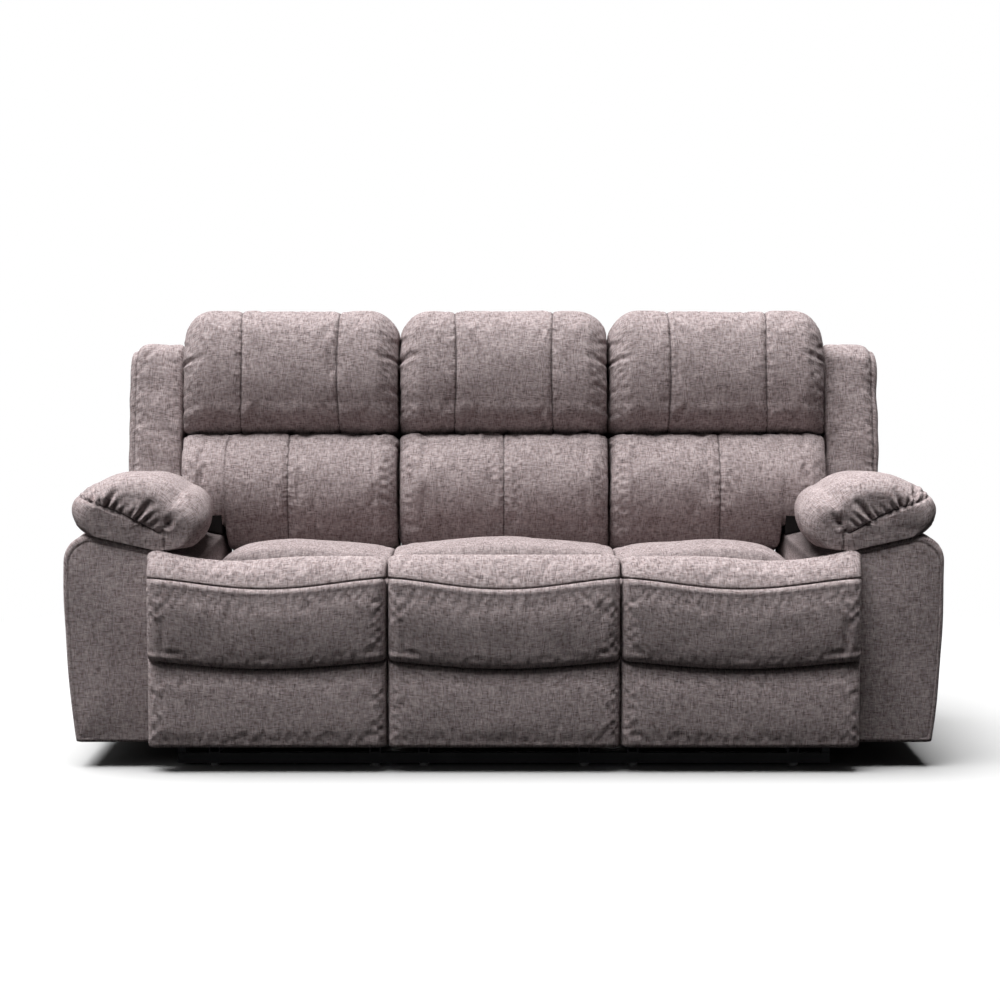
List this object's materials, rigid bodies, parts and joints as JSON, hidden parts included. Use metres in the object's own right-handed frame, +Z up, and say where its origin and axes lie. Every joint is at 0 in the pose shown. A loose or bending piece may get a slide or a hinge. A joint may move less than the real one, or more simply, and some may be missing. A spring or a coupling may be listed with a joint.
{
  "type": "reclining sofa",
  "caption": "Reclining sofa in woven fabric: pillow arms, padded backs, fold-out footrests and a black steel base.",
  "frame": {"origin": "centre of the footprint on the floor, under the middle seat", "axes": "+X to the right seen from the front, +Y to the back, +Z up; the front faces -Y"},
  "size_m": [2.02, 0.9389, 1.038],
  "materials": {
    "upholstery": "mauve grey melange linen-look weave, matt",
    "timber": "sawn softwood and board, unfinished",
    "spring_wire": "drawn spring wire",
    "base_steel": "black powder coat",
    "mechanism_steel": "dark grey coated steel",
    "black_plastic": "matt black moulding"
  },
  "bodies": {
    "root": {"arm_frames": "timber", "left_arm_cover": "upholstery", "right_arm_cover": "upholstery", "left_arm_pad": "upholstery", "right_arm_pad": "upholstery", "left_wing": "upholstery", "right_wing": "upholstery", "base_frame": "base_steel", "base_side_rails": "base_steel", "glide_feet": "black_plastic", "handle_cups": "black_plastic", "rear_panel": "upholstery"},
    "left_seat": {"left_seat_frame": "timber", "left_seat_springs": "spring_wire", "left_seat_cushion": "upholstery", "left_mechanism_plates": "mechanism_steel"},
    "left_drive": {"left_drive_links": "mechanism_steel"},
    "left_crossing": {"left_crossing_links": "mechanism_steel"},
    "left_front": {"left_front_links": "mechanism_steel"},
    "left_footrest": {"left_footrest_brackets": "mechanism_steel", "left_footrest_board": "timber", "left_footrest_upper_pad": "upholstery", "left_footrest_lower_pad": "upholstery"},
    "left_back": {"left_back_frame": "timber", "left_back_panel": "upholstery", "left_head_pillow": "upholstery", "left_lumbar_pillow": "upholstery"},
    "middle_seat": {"middle_seat_frame": "timber", "middle_seat_springs": "spring_wire", "middle_seat_cushion": "upholstery", "middle_mechanism_plates": "mechanism_steel"},
    "middle_drive": {"middle_drive_links": "mechanism_steel"},
    "middle_crossing": {"middle_crossing_links": "mechanism_steel"},
    "middle_front": {"middle_front_links": "mechanism_steel"},
    "middle_footrest": {"middle_footrest_brackets": "mechanism_steel", "middle_footrest_board": "timber", "middle_footrest_upper_pad": "upholstery", "middle_footrest_lower_pad": "upholstery"},
    "middle_back": {"middle_back_frame": "timber", "middle_back_panel": "upholstery", "middle_head_pillow": "upholstery", "middle_lumbar_pillow": "upholstery"},
    "right_seat": {"right_seat_frame": "timber", "right_seat_springs": "spring_wire", "right_seat_cushion": "upholstery", "right_mechanism_plates": "mechanism_steel"},
    "right_drive": {"right_drive_links": "mechanism_steel"},
    "right_crossing": {"right_crossing_links": "mechanism_steel"},
    "right_front": {"right_front_links": "mechanism_steel"},
    "right_footrest": {"right_footrest_brackets": "mechanism_steel", "right_footrest_board": "timber", "right_footrest_upper_pad": "upholstery", "right_footrest_lower_pad": "upholstery"},
    "right_back": {"right_back_frame": "timber", "right_back_panel": "upholstery", "right_head_pillow": "upholstery", "right_lumbar_pillow": "upholstery"},
    "left_handle": {"left_release_handle": "black_plastic"},
    "right_handle": {"right_release_handle": "black_plastic"},
    "middle_tab": {"middle_pull_tab": "upholstery"}
  },
  "joints": [
    {"name": "left_seat_glide", "type": "slide", "parent": "root", "child": "left_seat", "axis": [0, -1, 0], "range_m": [0, 0.0601]},
    {"name": "left_back_recline", "type": "hinge", "parent": "left_seat", "child": "left_back", "pos_m": [-0.4845, 0.2486, 0.305], "axis": [-1, 0, 0], "range_deg": [0, 35]},
    {"name": "left_footrest_open", "type": "hinge", "parent": "left_seat", "child": "left_drive", "pos_m": [-0.4845, -0.34, 0.355], "axis": [-1, 0, 0], "range_deg": [0, 80]},
    {"name": "left_crossing_turn", "type": "hinge", "parent": "left_drive", "child": "left_crossing", "pos_m": [-0.4845, -0.34654, 0.23017], "axis": [-1, 0, 0], "range_deg": [-160.01, 0]},
    {"name": "left_front_turn", "type": "hinge", "parent": "left_drive", "child": "left_front", "pos_m": [-0.4845, -0.35308, 0.10534], "axis": [-1, 0, 0], "range_deg": [-160.01, 0]},
    {"name": "left_footrest_turn", "type": "hinge", "parent": "left_crossing", "child": "left_footrest", "pos_m": [-0.4845, -0.35308, 0.355], "axis": [-1, 0, 0], "range_deg": [0, 160.01]},
    {"name": "middle_seat_glide", "type": "slide", "parent": "root", "child": "middle_seat", "axis": [0, -1, 0], "range_m": [0, 0.0601]},
    {"name": "middle_back_recline", "type": "hinge", "parent": "middle_seat", "child": "middle_back", "pos_m": [0, 0.2486, 0.305], "axis": [-1, 0, 0], "range_deg": [0, 35]},
    {"name": "middle_footrest_open", "type": "hinge", "parent": "middle_seat", "child": "middle_drive", "pos_m": [0, -0.34, 0.355], "axis": [-1, 0, 0], "range_deg": [0, 80]},
    {"name": "middle_crossing_turn", "type": "hinge", "parent": "middle_drive", "child": "middle_crossing", "pos_m": [0, -0.34654, 0.23017], "axis": [-1, 0, 0], "range_deg": [-160.01, 0]},
    {"name": "middle_front_turn", "type": "hinge", "parent": "middle_drive", "child": "middle_front", "pos_m": [0, -0.35308, 0.10534], "axis": [-1, 0, 0], "range_deg": [-160.01, 0]},
    {"name": "middle_footrest_turn", "type": "hinge", "parent": "middle_crossing", "child": "middle_footrest", "pos_m": [0, -0.35308, 0.355], "axis": [-1, 0, 0], "range_deg": [0, 160.01]},
    {"name": "right_seat_glide", "type": "slide", "parent": "root", "child": "right_seat", "axis": [0, -1, 0], "range_m": [0, 0.0601]},
    {"name": "right_back_recline", "type": "hinge", "parent": "right_seat", "child": "right_back", "pos_m": [0.4845, 0.2486, 0.305], "axis": [-1, 0, 0], "range_deg": [0, 35]},
    {"name": "right_footrest_open", "type": "hinge", "parent": "right_seat", "child": "right_drive", "pos_m": [0.4845, -0.34, 0.355], "axis": [-1, 0, 0], "range_deg": [0, 80]},
    {"name": "right_crossing_turn", "type": "hinge", "parent": "right_drive", "child": "right_crossing", "pos_m": [0.4845, -0.34654, 0.23017], "axis": [-1, 0, 0], "range_deg": [-160.01, 0]},
    {"name": "right_front_turn", "type": "hinge", "parent": "right_drive", "child": "right_front", "pos_m": [0.4845, -0.35308, 0.10534], "axis": [-1, 0, 0], "range_deg": [-160.01, 0]},
    {"name": "right_footrest_turn", "type": "hinge", "parent": "right_crossing", "child": "right_footrest", "pos_m": [0.4845, -0.35308, 0.355], "axis": [-1, 0, 0], "range_deg": [0, 160.01]},
    {"name": "left_handle_pull", "type": "hinge", "parent": "root", "child": "left_handle", "pos_m": [-1.0035, -0.24, 0.36], "axis": [0, 0, -1], "range_deg": [0, 30], "stiffness_Nm_per_rad": 0.6},
    {"name": "right_handle_pull", "type": "hinge", "parent": "root", "child": "right_handle", "pos_m": [1.0035, -0.24, 0.36], "axis": [0, 0, 1], "range_deg": [0, 30], "stiffness_Nm_per_rad": 0.6},
    {"name": "middle_tab_pull", "type": "slide", "parent": "middle_seat", "child": "middle_tab", "axis": [0, 0, 1], "range_m": [0, 0.025], "stiffness_N_per_m": 120}
  ],
  "couplings": [
    {"joint": "left_seat_glide", "follows": "left_back_recline", "m_per_rad": 0.098221},
    {"joint": "left_crossing_turn", "follows": "left_footrest_open", "ratio": -2},
    {"joint": "left_front_turn", "follows": "left_footrest_open", "ratio": -2},
    {"joint": "left_footrest_turn", "follows": "left_footrest_open", "ratio": 2},
    {"joint": "middle_seat_glide", "follows": "middle_back_recline", "m_per_rad": 0.098221},
    {"joint": "middle_crossing_turn", "follows": "middle_footrest_open", "ratio": -2},
    {"joint": "middle_front_turn", "follows": "middle_footrest_open", "ratio": -2},
    {"joint": "middle_footrest_turn", "follows": "middle_footrest_open", "ratio": 2},
    {"joint": "right_seat_glide", "follows": "right_back_recline", "m_per_rad": 0.098221},
    {"joint": "right_crossing_turn", "follows": "right_footrest_open", "ratio": -2},
    {"joint": "right_front_turn", "follows": "right_footrest_open", "ratio": -2},
    {"joint": "right_footrest_turn", "follows": "right_footrest_open", "ratio": 2}
  ]
}
